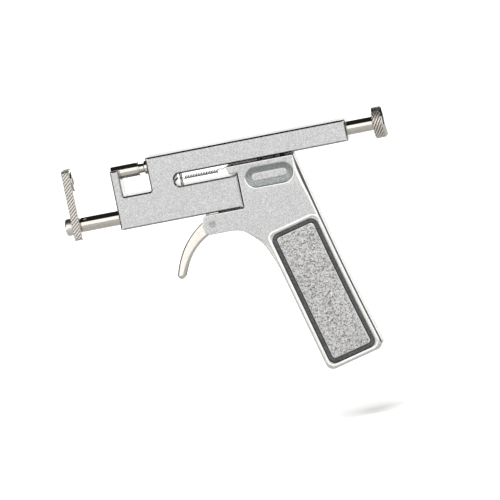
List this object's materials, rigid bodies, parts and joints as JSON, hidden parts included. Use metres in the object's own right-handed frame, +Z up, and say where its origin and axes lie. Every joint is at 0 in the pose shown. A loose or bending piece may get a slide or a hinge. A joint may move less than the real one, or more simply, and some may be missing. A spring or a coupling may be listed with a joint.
{
  "type": "ear piercing gun",
  "caption": "Hand-held spring plunger ear-piercing gun: knurled cocking knob, stud holder, clasp plate on a guide rod, finger trigger and raked grip.",
  "frame": {"origin": "mouth of the stud socket, on the plunger axis, flush with the front face of the body", "axes": "+X along the plunger towards the cocking knob, +Z up to the barrel's top, +Y to the far side, with the cover"},
  "size_m": [0.1407, 0.0132, 0.1042],
  "materials": {
    "cast_silver": "sand-blasted die casting with polished edges",
    "nickel": "bright nickel plate",
    "steel": "turned steel",
    "spring_steel": "drawn spring wire"
  },
  "bodies": {
    "handle": {"handle_left_shell": "cast_silver", "handle_right_shell": "cast_silver", "handle_screws": "steel", "guide_rod": "nickel", "rod_pin": "steel", "trigger_pivot_pin": "steel", "spring_anchor_pin": "steel", "sear_trip_pin": "steel", "plate_screw": "nickel"},
    "clasp_holder": {"clasp_plate": "nickel", "clasp_cup": "nickel"},
    "slide_body": {"body_casting": "cast_silver", "body_cover": "cast_silver", "cover_screws": "steel", "rear_end_bush": "steel", "spring_seat_bush": "steel", "seat_screw": "steel", "travel_pin": "steel", "spring_post": "steel", "sear_pivot_pin": "steel", "sear_spring": "spring_steel", "main_spring": "spring_steel", "return_spring": "spring_steel"},
    "plunger": {"stud_holder": "nickel", "plunger_head": "nickel", "plunger_rod": "steel", "cocking_sleeve": "nickel", "cocking_knob": "nickel"},
    "trigger": {"trigger": "nickel", "trigger_push_pin": "steel"},
    "sear": {"sear": "steel"}
  },
  "joints": [
    {"name": "body_slide", "type": "slide", "parent": "handle", "child": "slide_body", "axis": [-1, 0, 0], "range_m": [0, 0.0087], "stiffness_N_per_m": 300, "springref_m": -0.004, "deforming": ["return_spring"]},
    {"name": "trigger_pull", "type": "hinge", "parent": "handle", "child": "trigger", "pos_m": [0.038, 0, -0.02817], "axis": [0, -1, 0], "range_deg": [0, 35]},
    {"name": "sear_trip", "type": "hinge", "parent": "slide_body", "child": "sear", "pos_m": [0.066, 0, -0.0086], "axis": [0, 1, 0], "range_deg": [0, 8], "deforming": ["sear_spring"]},
    {"name": "cocking_slide", "type": "slide", "parent": "slide_body", "child": "plunger", "axis": [1, 0, 0], "range_m": [0, 0.012], "stiffness_N_per_m": 500, "springref_m": -0.006, "deforming": ["main_spring"]},
    {"name": "plate_swivel", "type": "hinge", "parent": "handle", "child": "clasp_holder", "pos_m": [-0.0185, 0, -0.01867], "axis": [1, 0, 0], "range_deg": [-90, 90]}
  ],
  "couplings": [
    {"joint": "trigger_pull", "follows": "body_slide", "rad_per_m": 70},
    {"joint": "sear_trip", "follows": "body_slide", "rad_per_m": 16}
  ]
}
